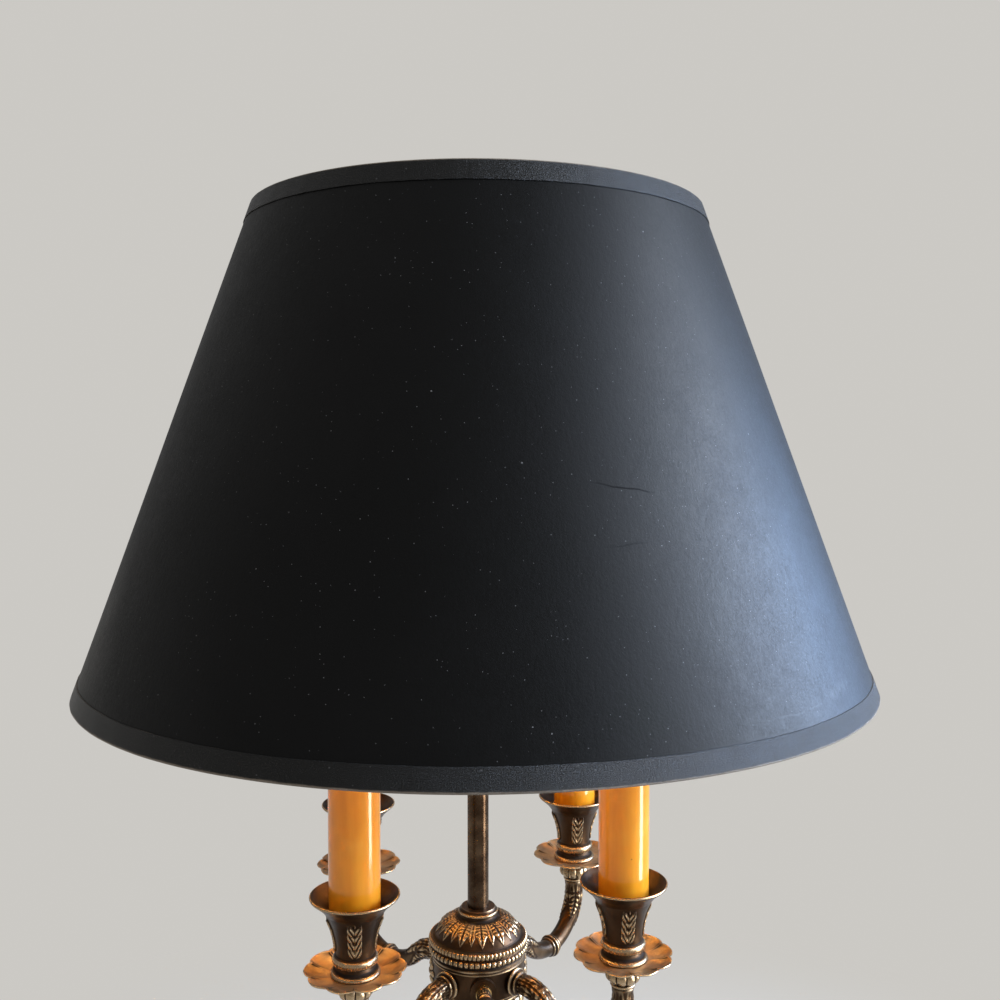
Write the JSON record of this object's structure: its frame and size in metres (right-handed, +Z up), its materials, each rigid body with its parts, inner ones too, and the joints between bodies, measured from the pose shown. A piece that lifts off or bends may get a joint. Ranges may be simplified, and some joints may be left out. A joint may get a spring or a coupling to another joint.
{
  "type": "bouillotte lamp",
  "caption": "Table lamp with candle arms round a rod, a black paper shade that slides on the rod, a fluted column and a round dished base.",
  "frame": {"origin": "centre of the underside of the base, on the table", "axes": "+Z up along the rod, -Y towards the front, where the switch key points, +X to the right"},
  "size_m": [0.3572, 0.3572, 0.6178],
  "materials": {
    "black_paper": "satin black paper, faint bluish sheen, specks of dust",
    "gold_foil": "gold foil paper",
    "trim_tape": "charcoal woven tape, worn along its lower edge",
    "shade_wire": "brass plated wire",
    "dark_bronze": "dark bronze patina with rubbed high spots",
    "candle_sleeve": "honey coloured gloss sleeve",
    "clear_glass": "clear glass",
    "nickel_cap": "nickel plated cap",
    "filament_wire": "warm filament",
    "brass_shell": "plain brass",
    "socket_phenolic": "black moulded socket",
    "lead_cover": "gold insulated lead",
    "plated_steel": "zinc plated steel",
    "grey_iron": "rough cast iron",
    "green_felt": "dark green felt",
    "black_bushing": "black moulded bushing"
  },
  "bodies": {
    "root": {"base_felt": "green_felt", "base_dish": "dark_bronze", "base_weight": "grey_iron", "base_washer": "plated_steel", "pipe_nuts": "plated_steel", "cord_bushing": "black_bushing", "centre_pipe": "plated_steel", "column_foot": "dark_bronze", "column_shaft": "dark_bronze", "column_capital": "dark_bronze", "hub_body": "dark_bronze", "hub_cap": "dark_bronze", "rod_nut": "plated_steel", "arm_nipples": "plated_steel", "socket_brackets": "plated_steel", "socket_shells": "brass_shell", "bulb_caps": "nickel_cap", "bulb_filaments": "filament_wire", "lamp_leads": "lead_cover", "switch_body": "socket_phenolic", "switch_bushing": "brass_shell", "switch_nut": "dark_bronze", "centre_rod": "dark_bronze", "rod_finial": "dark_bronze", "arm_front_right": "dark_bronze", "drip_pan_front_right": "dark_bronze", "candle_cup_front_right": "dark_bronze", "candle_cover_front_right": "candle_sleeve", "socket_front_right": "socket_phenolic", "bulb_front_right": "clear_glass", "arm_rear_right": "dark_bronze", "drip_pan_rear_right": "dark_bronze", "candle_cup_rear_right": "dark_bronze", "candle_cover_rear_right": "candle_sleeve", "socket_rear_right": "socket_phenolic", "bulb_rear_right": "clear_glass", "arm_rear_left": "dark_bronze", "drip_pan_rear_left": "dark_bronze", "candle_cup_rear_left": "dark_bronze", "candle_cover_rear_left": "candle_sleeve", "socket_rear_left": "socket_phenolic", "bulb_rear_left": "clear_glass", "arm_front_left": "dark_bronze", "drip_pan_front_left": "dark_bronze", "candle_cup_front_left": "dark_bronze", "candle_cover_front_left": "candle_sleeve", "socket_front_left": "socket_phenolic", "bulb_front_left": "clear_glass"},
    "collar": {"slip_collar": "dark_bronze", "collar_nut": "dark_bronze"},
    "thumbscrew": {"thumbscrew": "dark_bronze"},
    "shade": {"shade_shell": "black_paper", "shade_lining": "gold_foil", "bottom_trim": "trim_tape", "top_trim": "trim_tape", "bottom_wire": "shade_wire", "top_wire": "shade_wire", "shade_spider": "shade_wire"},
    "switch": {"switch_shaft": "brass_shell", "switch_key": "dark_bronze"}
  },
  "joints": [
    {"name": "shade_height", "type": "slide", "parent": "root", "child": "collar", "axis": [0, 0, 1], "range_m": [-0.09, 0.008]},
    {"name": "shade_swivel", "type": "hinge", "parent": "collar", "child": "shade", "pos_m": [0, 0, 0.588], "axis": [0, 0, 1], "continuous": true},
    {"name": "thumbscrew_turn", "type": "hinge", "parent": "collar", "child": "thumbscrew", "pos_m": [0, -0.011, 0.57295], "axis": [0, -1, 0], "range_deg": [0, 540]},
    {"name": "switch_turn", "type": "hinge", "parent": "root", "child": "switch", "pos_m": [0, -0.0266, 0.252], "axis": [0, -1, 0], "continuous": true}
  ]
}
